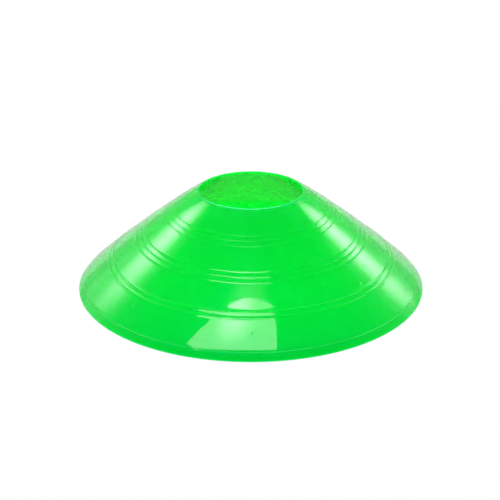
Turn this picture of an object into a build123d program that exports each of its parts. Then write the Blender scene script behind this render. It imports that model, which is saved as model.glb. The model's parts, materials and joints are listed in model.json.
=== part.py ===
from build123d import *
import os
from math import atan2, cos, sin

# A sports marker cone: one soft plastic moulding, hollow and open at both ends.
# Millimetres, +Z up, origin on the axis in the plane that the foot stands on.

# Overall sizes
foot_radius = 95.0  # outside of the foot
height = 54.0  # floor to the top of the lip
hole_radius = 28.0  # finger hole at the top
wall = 1.2  # thickness of the moulding
crown = 1.3  # how far the wall swells beyond a straight cone

# Lip round the hole
lip_width = 0.6  # flat land on top, from the hole out to the wall
lip_round = 0.3  # rounding of the land's two edges

# Rim band round the foot
rim_width = 3.15  # from the foot's outside in to the wall
rim_height = 4.0  # from the floor up to the wall
rim_ledge = 0.4  # how far the band stands out from the wall
toe_height = 0.8  # upright edge at the bottom of the band
toe_round = 0.4  # rounding where the toe meets the floor
foot_width = 2.0  # flat ring that touches the floor

# Raised rings, which stiffen the wall. Lengths are measured down the wall, from the lip to the rim.
collar_length = 19.6  # lip to the middle of the upper set
skirt_length = 19.7  # middle of the lower set to the rim
middle_rise = 0.45  # middle set above the point half way between the other two
ring_spacing = 3.05  # ring to ring within a set
ring_width = 1.2
ring_height = 0.25
upper_rings = 3
middle_rings = 3
lower_rings = 2

# Outer wall, seen in section: an arc from the lip to the rim
lip_edge = Vector(hole_radius + lip_width, height)
rim_edge = Vector(foot_radius - rim_width, rim_height)
wall_line = SagittaArc(lip_edge, rim_edge, crown)
wall_angle = atan2(lip_edge.Y - rim_edge.Y, rim_edge.X - lip_edge.X)

# Inner wall: the same arc, one wall thickness further in
lip_depth = (wall - lip_width * sin(wall_angle)) / cos(wall_angle)
hole_foot = Vector(hole_radius, height - lip_depth)
inner_rim = rim_edge - Vector(sin(wall_angle), cos(wall_angle)) * wall


def on_wall(distance, lift=0.0):
    """Point of the outer wall, measured down it from the lip and lifted square to it."""
    point = wall_line.position_at(distance, position_mode=PositionMode.LENGTH)
    downhill = wall_line.tangent_at(distance, position_mode=PositionMode.LENGTH)
    return point + Vector(-downhill.Y, downhill.X) * lift


def ring_set(middle, count):
    """Places of one set of rings, evenly spaced about its middle."""
    first = middle - ring_spacing * (count - 1) / 2
    return [first + ring_spacing * index for index in range(count)]


upper_set = collar_length
lower_set = wall_line.length - skirt_length
middle_set = (upper_set + lower_set) / 2 - middle_rise
rings = ring_set(upper_set, upper_rings) + ring_set(middle_set, middle_rings) + ring_set(lower_set, lower_rings)

# The moulding: its section, turned about the axis
with BuildPart() as cone_shell:
    with BuildSketch(Plane.XZ):
        with BuildLine():
            reached = 0.0
            for ring in rings:
                ring_top = ring - ring_width / 2
                ring_foot = ring + ring_width / 2
                ThreePointArc(on_wall(reached), on_wall((reached + ring_top) / 2), on_wall(ring_top))
                ThreePointArc(on_wall(ring_top), on_wall(ring, ring_height), on_wall(ring_foot))
                reached = ring_foot
            ThreePointArc(on_wall(reached), on_wall((reached + wall_line.length) / 2), rim_edge)
            Polyline(
                rim_edge,
                rim_edge + Vector(rim_ledge, 0),
                (foot_radius, toe_height),
                (foot_radius, 0),
                (foot_radius - foot_width, 0),
                inner_rim,
            )
            SagittaArc(inner_rim, hole_foot, -crown)
            Polyline(hole_foot, (hole_radius, height), lip_edge)
        make_face()
    revolve(axis=Axis.Z)

    level_circles = cone_shell.edges().filter_by(GeomType.CIRCLE).group_by(Axis.Z)
    fillet(level_circles[-1], lip_round)
    fillet(level_circles[0].sort_by(SortBy.RADIUS)[-1], toe_round)

os.makedirs("parts", exist_ok=True)
cone_shell.part.label = "cone_shell"
export_step(cone_shell.part, "parts/cone_shell.step")
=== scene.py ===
"""A sports marker cone of soft green polyethylene on a white studio floor."""

import json
import logging
from dataclasses import dataclass
from enum import Enum
from math import atan, ceil, cos, erfc, pi, tau

import bmesh
import bpy
from mathutils import Matrix, Vector


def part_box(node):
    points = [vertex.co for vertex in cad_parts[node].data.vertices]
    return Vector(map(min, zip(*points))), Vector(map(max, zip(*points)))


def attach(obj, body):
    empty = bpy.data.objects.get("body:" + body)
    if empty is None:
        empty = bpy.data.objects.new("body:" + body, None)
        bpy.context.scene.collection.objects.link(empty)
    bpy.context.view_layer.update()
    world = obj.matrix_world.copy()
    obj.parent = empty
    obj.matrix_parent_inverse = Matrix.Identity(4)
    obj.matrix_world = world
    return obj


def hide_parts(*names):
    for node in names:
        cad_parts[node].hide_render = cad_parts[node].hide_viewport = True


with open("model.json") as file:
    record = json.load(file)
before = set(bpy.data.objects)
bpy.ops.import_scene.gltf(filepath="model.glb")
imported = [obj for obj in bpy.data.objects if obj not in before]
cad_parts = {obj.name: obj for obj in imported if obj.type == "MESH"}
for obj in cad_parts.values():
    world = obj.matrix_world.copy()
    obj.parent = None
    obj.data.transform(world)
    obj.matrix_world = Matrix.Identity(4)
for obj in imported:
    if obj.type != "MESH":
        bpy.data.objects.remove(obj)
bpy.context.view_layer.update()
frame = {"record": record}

log = logging.getLogger("marker_cone")

MM = 0.001
MERGE_DISTANCE = 0.001 * MM
PHOTO_WIDTH = 500
WHITE = 1.0

Point = tuple[float, float, float]


def linear(hex_colour: str) -> tuple[float, float, float, float]:
    """Turn an sRGB hex colour into linear light.

    Args:
        hex_colour: six hex digits after a hash sign.

    Returns:
        Linear red, green and blue, and an alpha of 1.
    """
    shares = [int(hex_colour[i : i + 2], 16) / 255 for i in (1, 3, 5)]
    red, green, blue = (s / 12.92 if s <= 0.04045 else ((s + 0.055) / 1.055) ** 2.4 for s in shares)
    return red, green, blue, 1.0


def add_node(
    tree: bpy.types.NodeTree, kind: str, inputs: dict[str | int, object] | None = None, **settings: object
) -> bpy.types.Node:
    """Add a node, set it up and link it.

    Args:
        tree: the tree that gets the node.
        kind: Blender's name for the node, without its ShaderNode part.
        inputs: for each input, by name or number, a value or the output that feeds it.
        **settings: the node's own options.

    Returns:
        The new node.
    """
    node = tree.nodes.new("ShaderNode" + kind)
    for option, value in settings.items():
        setattr(node, option, value)
    for socket, value in (inputs or {}).items():
        if isinstance(value, bpy.types.NodeSocket):
            tree.links.new(value, node.inputs[socket])
        else:
            node.inputs[socket].default_value = value
    return node


def new_material(name: str) -> tuple[bpy.types.Material, bpy.types.NodeTree]:
    """Make a material with an empty node tree.

    Args:
        name: the material's name.

    Returns:
        The material and its tree.
    """
    material = bpy.data.materials.new(name)
    material.use_nodes = True
    material.node_tree.nodes.clear()
    return material, material.node_tree


def add_object(name: str, data: bpy.types.Mesh | bpy.types.Light | bpy.types.Camera) -> bpy.types.Object:
    """Put an object into the scene, at the origin.

    Args:
        name: the object's name.
        data: what the object is.

    Returns:
        The object.
    """
    thing = bpy.data.objects.new(name, data)
    bpy.context.collection.objects.link(thing)
    return thing


def finish_mesh(name: str, mesh: bmesh.types.BMesh) -> bpy.types.Object:
    """Turn a mesh's faces outwards and put it into the scene.

    Args:
        name: the object's name.
        mesh: the mesh, which is used up.

    Returns:
        The object.
    """
    bmesh.ops.recalc_face_normals(mesh, faces=mesh.faces)
    data = bpy.data.meshes.new(name)
    mesh.to_mesh(data)
    mesh.free()
    return add_object(name, data)


def point_at(thing: bpy.types.Object, place: Point, aim: Point) -> None:
    """Stand a lamp or a camera in its place, turned towards its aim."""
    thing.location = place
    thing.rotation_euler = (Vector(aim) - Vector(place)).to_track_quat("-Z", "Y").to_euler()


@dataclass(frozen=True)
class MouldedPolyethylene:
    """Soft low-density polyethylene, dyed green and moulded against a polished steel tool.

    Sizes are in millimetres. Flow of the melt leaves faint clouds and fine lines that run down the wall, and
    use leaves a few pin-head pits.
    """

    body: str = "#00FA44"
    cloud: str = "#00F740"
    cloud_size: float = 38.0
    cloud_detail: float = 2.0
    ior: float = 1.51
    skin_roughness: float = 0.03
    haze: float = 0.15
    haze_tint: str = "#00D8FF"
    roughness: float = 0.25
    scuff_roughness: float = 0.06
    scuff_size: float = 12.0
    scuff_detail: float = 6.0
    scuff_range: tuple[float, float] = (0.4, 0.8)
    wave_size: float = 30.0
    wave_detail: float = 1.0
    wave_depth: float = 0.02
    line_spacing: float = 1.1
    line_detail: float = 3.0
    line_depth: float = 0.0006
    pit_spacing: float = 6.5
    pit_radius: float = 0.65
    pit_depth: float = 0.09
    scatter: tuple[float, float, float] = (0.3, 14.0, 5.0)

    def material(self, reach: float) -> bpy.types.Material:
        """Build the material.

        Args:
            reach: radius, in millimetres, at which the fine lines have their true spacing.

        Returns:
            The material.
        """
        material, tree = new_material("green_polyethylene_moulded")
        place = add_node(tree, "TexCoord").outputs["Object"]
        normal = self.relief(tree, place, reach)
        # The eye sees a waxy, see-into green that glows where light comes through the wall, under a clear
        # gloss with crisp lamp shapes.
        shader = add_node(
            tree,
            "BsdfPrincipled",
            {
                "Base Color": self.clouds(tree, place),
                "Roughness": self.scuffs(tree, place),
                "Normal": normal,
                "IOR": self.ior,
                "Specular IOR Level": self.haze,
                "Specular Tint": linear(self.haze_tint),
                "Coat Weight": 1.0,
                "Coat Roughness": self.skin_roughness,
                "Coat IOR": self.ior,
                "Coat Normal": normal,
                "Subsurface Weight": 1.0,
                "Subsurface Radius": self.scatter,
                "Subsurface Scale": MM,
            },
        )
        add_node(tree, "OutputMaterial", {"Surface": shader.outputs[0]})
        return material

    def clouds(self, tree: bpy.types.NodeTree, place: bpy.types.NodeSocket) -> bpy.types.NodeSocket:
        """Mix the dye unevenly.

        Args:
            tree: the material's nodes.
            place: the point on the piece.

        Returns:
            The colour.
        """
        scale = 1 / (self.cloud_size * MM)
        cloud = add_node(tree, "TexNoise", {"Vector": place, "Scale": scale, "Detail": self.cloud_detail})
        shades = {"Factor": cloud.outputs["Fac"], "A": linear(self.body), "B": linear(self.cloud)}
        return add_node(tree, "Mix", shades, data_type="RGBA").outputs["Result"]

    def scuffs(self, tree: bpy.types.NodeTree, place: bpy.types.NodeSocket) -> bpy.types.NodeSocket:
        """Roughen the wall a little, in patches.

        Args:
            tree: the material's nodes.
            place: the point on the piece.

        Returns:
            The roughness.
        """
        scale = 1 / (self.scuff_size * MM)
        scuff = add_node(tree, "TexNoise", {"Vector": place, "Scale": scale, "Detail": self.scuff_detail})
        low, high = self.scuff_range
        roughness = add_node(
            tree,
            "MapRange",
            {
                "Value": scuff.outputs["Fac"],
                "From Min": low,
                "From Max": high,
                "To Min": self.roughness,
                "To Max": self.roughness + self.scuff_roughness,
            },
        )
        return roughness.outputs[0]

    def relief(
        self, tree: bpy.types.NodeTree, place: bpy.types.NodeSocket, reach: float
    ) -> bpy.types.NodeSocket:
        """Wave the wall, draw the flow lines down it and pit it.

        Args:
            tree: the material's nodes.
            place: the point on the piece.
            reach: radius, in millimetres, at which the lines have their true spacing.

        Returns:
            The normal.
        """
        scale = 1 / (self.wave_size * MM)
        wave = add_node(tree, "TexNoise", {"Vector": place, "Scale": scale, "Detail": self.wave_detail})
        waved = add_node(tree, "Bump", {"Height": wave.outputs["Fac"], "Distance": self.wave_depth * MM})

        axes = add_node(tree, "SeparateXYZ", {0: place}).outputs
        bearing = add_node(tree, "Math", {0: axes["Y"], 1: axes["X"]}, operation="ARCTAN2").outputs[0]
        around = add_node(tree, "Math", {0: bearing, 1: reach / self.line_spacing}, operation="MULTIPLY")
        down = add_node(tree, "Math", {0: axes["Z"], 1: 1 / (self.cloud_size * MM)}, operation="MULTIPLY")
        sheet = add_node(tree, "CombineXYZ", {"X": around.outputs[0], "Y": down.outputs[0]}).outputs[0]
        lines = add_node(tree, "TexNoise", {"Vector": sheet, "Scale": 1.0, "Detail": self.line_detail})
        lined = add_node(
            tree,
            "Bump",
            {"Height": lines.outputs["Fac"], "Distance": self.line_depth * MM, "Normal": waved.outputs[0]},
        )

        pits = add_node(tree, "TexVoronoi", {"Vector": place, "Scale": 1 / (self.pit_spacing * MM)})
        edge = self.pit_radius / self.pit_spacing
        pit = add_node(tree, "MapRange", {"Value": pits.outputs["Distance"], "From Max": edge})
        pitted = add_node(
            tree,
            "Bump",
            {"Height": pit.outputs[0], "Distance": self.pit_depth * MM, "Normal": lined.outputs[0]},
        )
        return pitted.outputs[0]


class PaperZone(Enum):
    """Parts of the paper floor, from the middle out. The value is the material slot."""

    HOLLOW = 0
    SHADE = 1
    OPEN = 2


@dataclass(frozen=True)
class StudioPaper:
    """Matt white paper, rolled out as the studio floor."""

    colour: str = "#F2F2F2"
    shadow_share: float = 0.07
    open_gloss: float = 0.6
    hollow_painted_glow: float = 0.09

    def material(self, zone: PaperZone) -> bpy.types.Material:
        """Build the material of one zone.

        Open paper is white to the camera, with a share of its own light and shade, and paler in the gloss.
        Paper in the hollow glows faintly to gloss rays, a painted pool of light standing in for light that
        comes in through the hole, which shows in the gloss of the inner wall. Paper in the shade has only the
        light that reaches it.

        Args:
            zone: the part of the floor.

        Returns:
            The material.
        """
        material, tree = new_material(f"studio_paper_{zone.name.lower()}")
        # The eye sees plain white with a faint soft shadow.
        surface = add_node(tree, "BsdfDiffuse", {"Color": linear(self.colour)})
        ray = add_node(tree, "LightPath").outputs
        if zone is PaperZone.OPEN:
            surface = self.glow(tree, surface, ray["Is Camera Ray"], WHITE)
            surface = self.glow(tree, surface, ray["Is Transmission Ray"], WHITE)
            surface = self.glow(tree, surface, ray["Is Glossy Ray"], self.open_gloss)
        elif zone is PaperZone.HOLLOW:
            # Painted light: the paper under the hole glows to gloss rays, standing in for light through the
            # hole.
            surface = self.glow(tree, surface, ray["Is Glossy Ray"], self.hollow_painted_glow)
        add_node(tree, "OutputMaterial", {"Surface": surface.outputs[0]})
        return material

    def glow(
        self, tree: bpy.types.NodeTree, surface: bpy.types.Node, ray: bpy.types.NodeSocket, strength: float
    ) -> bpy.types.Node:
        """Make the paper glow to one kind of ray.

        Args:
            tree: the material's nodes.
            surface: the shader so far.
            ray: tells whether a ray is of the kind.
            strength: how bright the paper looks, where 1 is white.

        Returns:
            The new shader.
        """
        share = add_node(tree, "Math", {0: ray, 1: 1 - self.shadow_share}, operation="MULTIPLY")
        white = add_node(tree, "Emission", {"Strength": strength})
        return add_node(tree, "MixShader", {0: share.outputs[0], 1: surface.outputs[0], 2: white.outputs[0]})


@dataclass(frozen=True)
class SectionArc:
    """An arc of the moulding's section, in the XZ plane. Sizes are in millimetres.

    Its middle stands by its rise to the left of the straight way from its start to its end.
    """

    start: Vector
    end: Vector
    rise: float

    @property
    def chord(self) -> Vector:
        """Straight way from the start to the end."""
        return self.end - self.start

    @property
    def angle(self) -> float:
        """Angle that the arc turns through, negative where the rise is."""
        return 4 * atan(2 * self.rise / self.chord.length)

    @property
    def radius(self) -> float:
        """Radius of the arc, negative where the rise is."""
        return self.chord.length**2 / (8 * self.rise) + self.rise / 2

    @property
    def length(self) -> float:
        """Length along the arc."""
        return self.radius * self.angle

    @property
    def centre(self) -> Vector:
        """Centre of the arc."""
        left = Vector((-self.chord.z, 0, self.chord.x)).normalized()
        return (self.start + self.end) / 2 - left * (self.radius - self.rise)

    def at(self, distance: float, lift: float = 0.0) -> Vector:
        """Find a point on the arc, or near it.

        Args:
            distance: how far along the arc from its start.
            lift: how far out from the arc, square to it.

        Returns:
            The point.
        """
        turned = Matrix.Rotation(distance / self.radius, 3, "Y") @ (self.start - self.centre)
        return self.centre + turned * (1 + lift / self.radius)


class SectionPen:
    """Draws a section in the XZ plane, in millimetres, as one line of edges."""

    corner_edges: int = 4
    least_arc_edges: int = 2

    def __init__(self, start: Vector) -> None:
        """Put the pen down.

        Args:
            start: the first point.
        """
        self.mesh = bmesh.new()
        self.first = self.mesh.verts.new(start)
        self.tip = self.first
        self.corners: list[tuple[bmesh.types.BMVert, float]] = []

    def round_here(self, radius: float) -> None:
        """Ask for a rounding at the pen's tip.

        Args:
            radius: how far along its two lines the rounding reaches.
        """
        self.corners.append((self.tip, radius))

    def line_to(self, point: Vector) -> None:
        """Draw a straight line.

        Args:
            point: where the line ends.
        """
        drawn = bmesh.ops.extrude_vert_indiv(self.mesh, verts=[self.tip])
        self.tip = drawn["verts"][0]
        self.tip.co = point

    def arc_to(self, point: Vector, rise: float, step: float) -> None:
        """Draw an arc.

        Args:
            point: where the arc ends.
            rise: how far its middle stands to the left of the straight way there.
            step: greatest length of one edge.
        """
        arc = SectionArc(self.tip.co.copy(), point, rise)
        spun = bmesh.ops.spin(
            self.mesh,
            geom=[self.tip],
            cent=arc.centre,
            axis=(0, 1, 0),
            angle=arc.angle,
            steps=max(self.least_arc_edges, ceil(arc.chord.length / step)),
        )
        self.tip = next(item for item in spun["geom_last"] if isinstance(item, bmesh.types.BMVert))

    def close(self) -> bmesh.types.BMesh:
        """Draw the last line, back to the start, and round the corners.

        Returns:
            A mesh of the section's edges, in metres.
        """
        self.mesh.edges.new((self.tip, self.first))
        for corner, radius in self.corners:
            bmesh.ops.bevel(
                self.mesh,
                geom=[corner],
                offset=radius,
                offset_type="OFFSET",
                segments=self.corner_edges,
                profile=0.5,
                affect="VERTICES",
                material=-1,
            )
        bmesh.ops.scale(self.mesh, vec=(MM, MM, MM), verts=self.mesh.verts)
        return self.mesh


@dataclass(frozen=True)
class RingForm:
    """How a raised ring stands out from the wall. Sizes are in millimetres.

    The ring swells up over its rise and down again over its fall. Below it the wall may stand out a little,
    by the apron, which runs out over the apron's length.
    """

    rise: float
    fall: float
    height: float
    apron: float = 0.0
    apron_length: float = 0.0

    def lift(self, offset: float) -> float:
        """Work out the ring's profile.

        Args:
            offset: distance down the wall from the ring's crest.

        Returns:
            How far the ring stands out there.
        """
        share = min(abs(offset) / (self.rise if offset < 0 else self.fall), 1.0)
        swell = self.height * (1 + cos(pi * share)) / 2
        if offset < 0 or not self.apron:
            return swell
        run_out = max(0.0, 1 - max(0.0, offset - self.fall) / self.apron_length)
        return max(swell, self.apron * run_out**2)


@dataclass(frozen=True)
class RingSet:
    """A set of raised rings, evenly spaced about its middle. Sizes are in millimetres."""

    middle: float
    count: int
    spacing: float
    form: RingForm

    def crests(self) -> list[float]:
        """Distance down the wall of each ring's crest."""
        first = self.middle - self.spacing * (self.count - 1) / 2
        return [first + self.spacing * index for index in range(self.count)]

    def stretches(self) -> list[tuple[float, float]]:
        """Start and end down the wall of each ring with its apron."""
        below = self.form.fall + self.form.apron_length
        return [(crest - self.form.rise, crest + below) for crest in self.crests()]

    def lift(self, distance: float) -> float:
        """Tell how far the rings stand out from the wall at a distance down it."""
        return max(self.form.lift(distance - crest) for crest in self.crests())


@dataclass
class MarkerCone:
    """The one moulding: lip, wall with its raised rings, and rim band. Sizes are in millimetres."""

    foot_radius: float
    height: float
    hole_radius: float
    wall: float = 1.2
    crown: float = 1.0
    lip_width: float = 0.6
    lip_round: float = 0.06
    shoulder_drop: float = 0.64
    shoulder_length: float = 9.0
    rim_width: float = 3.15
    rim_height: float = 4.0
    rim_round: float = 0.05
    rim_drop: float = 0.5
    rim_step: float = 0.02
    rim_swell: float = 0.03
    toe_height: float = 0.25
    toe_round: float = 0.15
    foot_width: float = 2.0
    collar_length: float = 19.6
    skirt_length: float = 19.7
    middle_rise: float = 0.45
    ring_spacing: float = 3.05
    upper_rings: int = 3
    upper_form: RingForm = RingForm(rise=0.48, fall=0.3, height=0.065)
    middle_rings: int = 3
    middle_form: RingForm = RingForm(rise=0.55, fall=0.16, height=0.075)
    lower_rings: int = 2
    lower_form: RingForm = RingForm(rise=0.9, fall=0.8, height=0.18, apron=0.05, apron_length=1.3)
    edge_length: float = 1.4
    fine_edge_length: float = 0.07
    turns: int = 264

    @property
    def outer_wall(self) -> SectionArc:
        """Line of the outer wall, before it drops at the shoulder.

        Returns:
            The line, from above the lip's edge to the rim's edge.
        """
        lip = Vector((self.hole_radius + self.lip_width, 0, self.height))
        rim = Vector((self.foot_radius - self.rim_width, 0, self.rim_height))
        outward = Vector((lip.z - rim.z, 0, rim.x - lip.x)).normalized()
        return SectionArc(lip + outward * self.shoulder_drop, rim, self.crown)

    def ring_sets(self) -> list[RingSet]:
        """Work out where the three sets of rings are.

        Returns:
            The sets, from the top.
        """
        upper = self.collar_length
        lower = self.outer_wall.length - self.skirt_length
        middle = (upper + lower) / 2 - self.middle_rise
        return [
            RingSet(upper, self.upper_rings, self.ring_spacing, self.upper_form),
            RingSet(middle, self.middle_rings, self.ring_spacing, self.middle_form),
            RingSet(lower, self.lower_rings, self.ring_spacing, self.lower_form),
        ]

    def stations(self, line: SectionArc) -> list[float]:
        """Choose where down the wall the section has points: close on the rings, far apart between.

        Args:
            line: the wall's line.

        Returns:
            Distances down the wall from the lip.
        """
        stretches = [stretch for rings in self.ring_sets() for stretch in rings.stretches()]
        stretches.append((line.length, line.length))
        reached = 0.0
        found: list[float] = []
        for stretch in stretches:
            for stop, step in zip(stretch, (self.edge_length, self.fine_edge_length)):
                count = ceil((stop - reached) / step)
                found += [reached + (stop - reached) * (index + 1) / count for index in range(count)]
                reached = stop
        return found

    def draw_outer_wall(self, pen: SectionPen, line: SectionArc) -> None:
        """Draw the outer wall from the lip to the rim.

        Args:
            pen: the pen, at the lip.
            line: the wall's line.
        """
        sets = self.ring_sets()
        for distance in self.stations(line):
            shoulder = self.shoulder_drop * erfc(distance / self.shoulder_length)
            pen.line_to(line.at(distance, sum(rings.lift(distance) for rings in sets) - shoulder))

    def section(self) -> bmesh.types.BMesh:
        """Draw the moulding's section, down the outside and back up the inside.

        Returns:
            A mesh of the section's edges, in metres.
        """
        line = self.outer_wall
        pen = SectionPen(line.at(0.0, -self.shoulder_drop))
        pen.round_here(self.lip_round)
        self.draw_outer_wall(pen, line)

        pen.round_here(self.rim_round)
        pen.line_to(line.end + Vector((self.rim_step, 0, -self.rim_drop)))
        pen.arc_to(Vector((self.foot_radius, 0, self.toe_height)), self.rim_swell, self.fine_edge_length)
        pen.line_to(Vector((self.foot_radius, 0, 0)))
        pen.round_here(self.toe_round)
        pen.line_to(Vector((self.foot_radius - self.foot_width, 0, 0)))

        inward = (line.centre - line.at(line.length / 2)).normalized()
        lip_depth = (self.wall - self.lip_width * -inward.x) / -inward.z
        pen.line_to(line.end + inward * self.wall)
        pen.arc_to(Vector((self.hole_radius, 0, self.height - lip_depth)), -self.crown, self.edge_length)
        pen.line_to(Vector((self.hole_radius, 0, self.height)))
        pen.round_here(self.lip_round)
        return pen.close()

    def build(self) -> bpy.types.Object:
        """Turn the section about the axis.

        Returns:
            The moulding, at the origin.
        """
        mesh = self.section()
        bmesh.ops.spin(
            mesh,
            geom=mesh.verts[:] + mesh.edges[:],
            cent=(0, 0, 0),
            axis=(0, 0, 1),
            angle=tau,
            steps=self.turns,
            use_merge=True,
        )
        bmesh.ops.remove_doubles(mesh, verts=mesh.verts, dist=MERGE_DISTANCE)
        for face in mesh.faces:
            face.smooth = True
        return finish_mesh("cone_shell_moulding", mesh)

    def dress(self, piece: bpy.types.Object) -> None:
        """Give the moulding its finish and its place in the frame.

        Args:
            piece: the moulding.
        """
        piece.data.materials.append(MouldedPolyethylene().material(self.foot_radius))
        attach(piece, "root")
        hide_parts("cone_shell")


@dataclass(frozen=True)
class Softbox:
    """A flat studio lamp, brightest in front of its bulb. Sizes are in metres.

    The bulb's place is in shares of the lamp's face. Its glow reaches so far across and up the face, and
    beyond that the edge share of the light is left.
    """

    name: str
    place: Point
    aim: Point
    width: float
    height: float
    radiance: float
    edge_share: float = 1.0
    bulb: tuple[float, float] = (0.5, 0.5)
    glow: tuple[float, float] = (0.5, 0.5)

    def build(self) -> bpy.types.Object:
        """Hang the lamp.

        Returns:
            The lamp's object.
        """
        lamp = bpy.data.lights.new(self.name, "AREA")
        lamp.shape = "RECTANGLE"
        lamp.size = self.width
        lamp.size_y = self.height
        lamp.energy = pi * self.width * self.height * self.radiance
        lamp.use_nodes = True
        self.fade(lamp.node_tree)
        lamp_object = add_object(self.name, lamp)
        point_at(lamp_object, self.place, self.aim)
        return lamp_object

    def fade(self, tree: bpy.types.NodeTree) -> None:
        """Dim the lamp's face away from the bulb.

        Args:
            tree: the lamp's nodes.
        """
        face = add_node(tree, "NewGeometry").outputs["Parametric"]
        spread = Vector((self.width / self.glow[0], self.height / self.glow[1], 0))
        bulb = Vector((*self.bulb, 0))
        spot = add_node(tree, "VectorMath", {0: face, 1: spread, 2: -bulb * spread}, operation="MULTIPLY_ADD")
        away = add_node(tree, "VectorMath", {0: spot.outputs[0]}, operation="LENGTH")
        light = add_node(
            tree,
            "MapRange",
            {"Value": away.outputs["Value"], "To Min": 1.0, "To Max": self.edge_share},
            interpolation_type="SMOOTHSTEP",
        )
        tree.links.new(light.outputs[0], tree.nodes["Emission"].inputs["Strength"])


@dataclass(frozen=True)
class LightTable:
    """The lit pane between the floor and the cone, as wide as the foot. Sizes are in metres."""

    name: str = "light_table"
    diameter: float = 0.1896
    level: float = -0.00002
    radiance: float = 0.38

    def build(self) -> bpy.types.Object:
        """Lay the lamp, which shines up into the hollow. Only the paper is seen and mirrored there.

        Returns:
            The lamp's object.
        """
        lamp = bpy.data.lights.new(self.name, "AREA")
        lamp.shape = "DISK"
        lamp.size = self.diameter
        lamp.energy = (pi * self.diameter / 2) ** 2 * self.radiance
        lamp_object = add_object(self.name, lamp)
        lamp_object.location = (0, 0, self.level)
        lamp_object.rotation_euler = (pi, 0, 0)
        lamp_object.visible_camera = False
        lamp_object.visible_glossy = False
        return lamp_object


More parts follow.
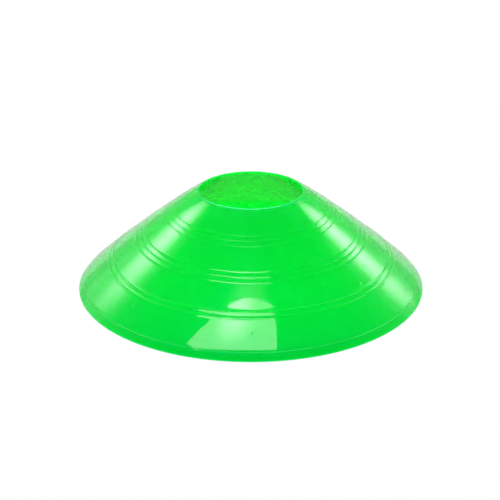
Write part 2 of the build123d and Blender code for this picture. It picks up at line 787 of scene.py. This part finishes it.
@dataclass(frozen=True)
class Studio:
    """The white floor, the lamps, the dim room and the camera. Sizes are in metres."""

    floor_radius: float = 6.0
    floor_sides: int = 96
    # Radius of the paper under the hole that carries the painted glow.
    painted_glow_radius: float = 0.0843
    covered_radius: float = 0.094
    floor_gap: float = 0.00005
    horizon_light: float = 0.4
    horizon_top: float = 0.1
    ceiling_light: float = 0.03
    ceiling_edge: float = 0.75
    focal_pixels: float = 1254.0
    eye: Point = (0.0, -0.6339, 0.2961)
    aim: Point = (0.0, 0.0, 0.01827)
    shift_pixels: float = 0.9
    nearest_view: float = 0.01

    def build_floor(self) -> bpy.types.Object:
        """Lay the paper floor.

        Returns:
            The floor.
        """
        mesh = bmesh.new()
        bmesh.ops.create_circle(mesh, cap_ends=True, segments=self.floor_sides, radius=self.painted_glow_radius)
        edge = mesh.edges[:]
        reached = self.painted_glow_radius
        for zone, radius in ((PaperZone.SHADE, self.covered_radius), (PaperZone.OPEN, self.floor_radius)):
            spread = bmesh.ops.extrude_edge_only(mesh, edges=edge)["geom"]
            rim = [item for item in spread if isinstance(item, bmesh.types.BMVert)]
            bmesh.ops.scale(mesh, vec=Vector((1, 1, 1)) * radius / reached, verts=rim)
            for face in (item for item in spread if isinstance(item, bmesh.types.BMFace)):
                face.material_index = zone.value
            edge = [item for item in spread if isinstance(item, bmesh.types.BMEdge) and item.is_boundary]
            reached = radius
        bmesh.ops.translate(mesh, vec=(0, 0, -self.floor_gap), verts=mesh.verts)
        floor = finish_mesh("paper_floor", mesh)
        for zone in PaperZone:
            floor.data.materials.append(StudioPaper().material(zone))
        return floor

    def light_room(self) -> None:
        """Give the room its dim light: pale at the horizon, dark overhead."""
        world = bpy.data.worlds.new("studio_room")
        world.use_nodes = True
        tree = world.node_tree
        tree.nodes.clear()
        way = add_node(tree, "TexCoord").outputs["Generated"]
        split = add_node(tree, "SeparateXYZ", {0: way})
        level = add_node(
            tree,
            "MapRange",
            {
                "Value": split.outputs["Z"],
                "From Min": self.horizon_top,
                "From Max": self.ceiling_edge,
                "To Min": self.horizon_light,
                "To Max": self.ceiling_light,
            },
            interpolation_type="SMOOTHSTEP",
        )
        glow = add_node(tree, "Background", {"Strength": level.outputs[0]})
        add_node(tree, "OutputWorld", {"Surface": glow.outputs[0]})
        bpy.context.scene.world = world

    def build_lamps(self) -> list[bpy.types.Object]:
        """Hang the rear side lamps, the front panel with its soft edge, the back light and the fills.

        The light table under the cone comes last.

        Returns:
            The lamps.
        """
        cone = (0.0, 0.0, 0.03)
        lamps = (
            Softbox(
                name="left_softbox",
                place=(-1.133, 0.823, 0.875),
                aim=(0.0, 0.0, 0.875),
                width=0.7,
                height=1.35,
                radiance=6.0,
                edge_share=0.05,
                bulb=(0.43, 0.54),
                glow=(0.37, 0.58),
            ),
            Softbox(
                name="right_softbox",
                place=(1.08, 0.89, 0.715),
                aim=(0.0, 0.0, 0.715),
                width=0.62,
                height=0.97,
                radiance=6.0,
                edge_share=0.04,
                bulb=(0.55, 0.56),
                glow=(0.29, 0.6),
            ),
            Softbox(
                name="front_panel",
                place=(-0.2, -0.498, 1.2),
                aim=(-0.2, -0.498, 0.0),
                width=0.94,
                height=0.224,
                radiance=12.0,
                edge_share=0.32,
                bulb=(0.54, 0.85),
                glow=(0.27, 0.13),
            ),
            Softbox(
                name="front_bounce",
                place=(-0.03, -0.325, 1.2),
                aim=(-0.03, -0.325, 0.0),
                width=0.6,
                height=0.12,
                radiance=1.2,
                edge_share=0.0,
                bulb=(0.5, 0.0),
                glow=(0.3, 0.12),
            ),
            Softbox("back_light", place=(0.0, 0.9, 1.23), aim=cone, width=1.04, height=0.58, radiance=13.0),
            Softbox("front_fill", place=(0.0, -2.2, 0.55), aim=cone, width=3.2, height=1.1, radiance=0.5),
            Softbox("left_fill", place=(-1.9, -0.3, 0.5), aim=cone, width=1.2, height=0.9, radiance=1.2),
            Softbox("right_fill", place=(1.9, -0.3, 0.5), aim=cone, width=1.2, height=0.9, radiance=1.0),
            LightTable(),
        )
        return [lamp.build() for lamp in lamps]

    def build_camera(self) -> bpy.types.Object:
        """Stand the camera where the photograph was taken from.

        Returns:
            The camera.
        """
        data = bpy.data.cameras.new("photo_camera")
        data.lens = data.sensor_width * self.focal_pixels / PHOTO_WIDTH
        data.shift_x = -self.shift_pixels / PHOTO_WIDTH
        data.clip_start = self.nearest_view
        camera = add_object("photo_camera", data)
        point_at(camera, self.eye, self.aim)
        bpy.context.scene.camera = camera
        return camera


def main() -> None:
    """Build the cone and the studio around it."""
    logging.basicConfig(level=logging.INFO, format="%(message)s")
    bpy.context.scene.view_settings.view_transform = "Standard"
    top_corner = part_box("cone_shell")[1]
    hole = next(mount for mount in frame["record"]["mounts"] if mount["name"] == "finger_hole")
    cone = MarkerCone(
        foot_radius=round(top_corner.x / MM, 2),
        height=round(top_corner.z / MM, 2),
        hole_radius=hole["dims"]["r_mm"],
    )
    piece = cone.build()
    cone.dress(piece)
    log.info("%s: %d faces, rides on root", piece.name, len(piece.data.polygons))
    studio = Studio()
    log.info("%s: stage", studio.build_floor().name)
    studio.light_room()
    for lamp in studio.build_lamps():
        log.info("%s: lamp", lamp.name)
    log.info("%s: camera", studio.build_camera().name)


if __name__ == "__main__":
    main()
